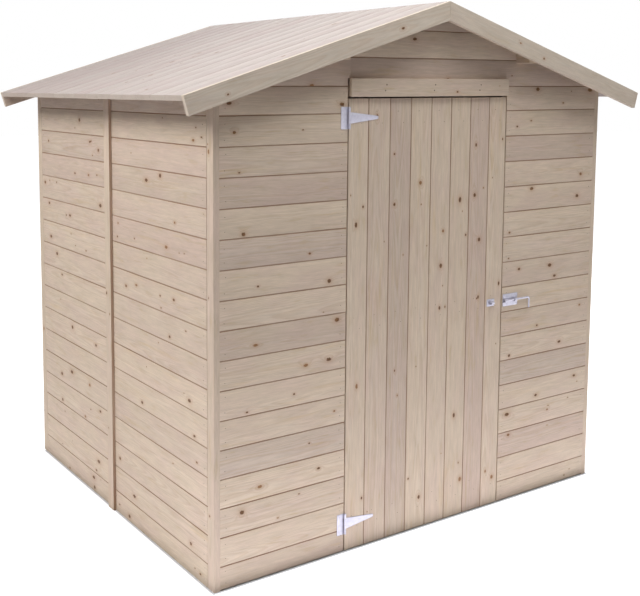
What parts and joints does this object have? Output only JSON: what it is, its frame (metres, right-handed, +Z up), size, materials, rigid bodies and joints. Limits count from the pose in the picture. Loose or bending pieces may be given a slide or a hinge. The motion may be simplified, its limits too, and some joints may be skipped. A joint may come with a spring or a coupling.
{
  "type": "wooden garden shed",
  "caption": "Board-clad wooden garden shed with a gabled boarded roof and one hinged ledged door closed by a slide bolt.",
  "frame": {"origin": "on the ground at the middle of the roof's outline seen from above", "axes": "+Z up, -Y out of the front wall with the door, +X to the right seen from the front"},
  "size_m": [2.314, 1.775, 2.1],
  "materials": {
    "cladding": "planed softwood boards, untreated",
    "trim": "planed softwood, untreated",
    "framing": "sawn softwood, untreated",
    "roof_boards": "planed softwood boards, pale",
    "zinc": "bright zinc plated"
  },
  "bodies": {
    "shed": {"front_left_cladding": "cladding", "front_right_cladding": "cladding", "front_gable_cladding": "cladding", "left_front_cladding": "cladding", "left_rear_cladding": "cladding", "right_front_cladding": "cladding", "right_rear_cladding": "cladding", "rear_left_cladding": "cladding", "rear_right_cladding": "cladding", "front_left_post": "trim", "front_right_post": "trim", "rear_left_post": "trim", "rear_right_post": "trim", "left_joint_batten": "trim", "right_joint_batten": "trim", "rear_joint_batten": "trim", "front_studs": "framing", "front_rails": "framing", "left_studs": "framing", "left_rails": "framing", "right_studs": "framing", "right_rails": "framing", "rear_studs": "framing", "rear_rails": "framing", "front_gable_frame": "framing", "rear_gable_frame": "framing", "header_board": "trim", "roof_deck_left": "roof_boards", "roof_deck_right": "roof_boards", "ridge_beam": "framing", "purlins": "framing", "bargeboard_front_left": "trim", "bargeboard_front_right": "trim", "bargeboard_rear_left": "trim", "bargeboard_rear_right": "trim", "upper_hinge_plate": "zinc", "lower_hinge_plate": "zinc", "bolt_plate": "zinc"},
    "door": {"door_boards": "cladding", "door_ledges": "framing", "door_braces": "framing", "upper_hinge_strap": "zinc", "lower_hinge_strap": "zinc", "bolt_keep": "zinc"},
    "bolt": {"bolt_rod": "zinc"}
  },
  "joints": [
    {"name": "door_hinge", "type": "hinge", "parent": "shed", "child": "door", "pos_m": [-0.417, -0.8065, 0.8875], "axis": [0, 0, -1], "range_deg": [0, 165]},
    {"name": "bolt_slide", "type": "slide", "parent": "shed", "child": "bolt", "axis": [-1, 0, 0], "range_m": [0, 0.07]}
  ]
}
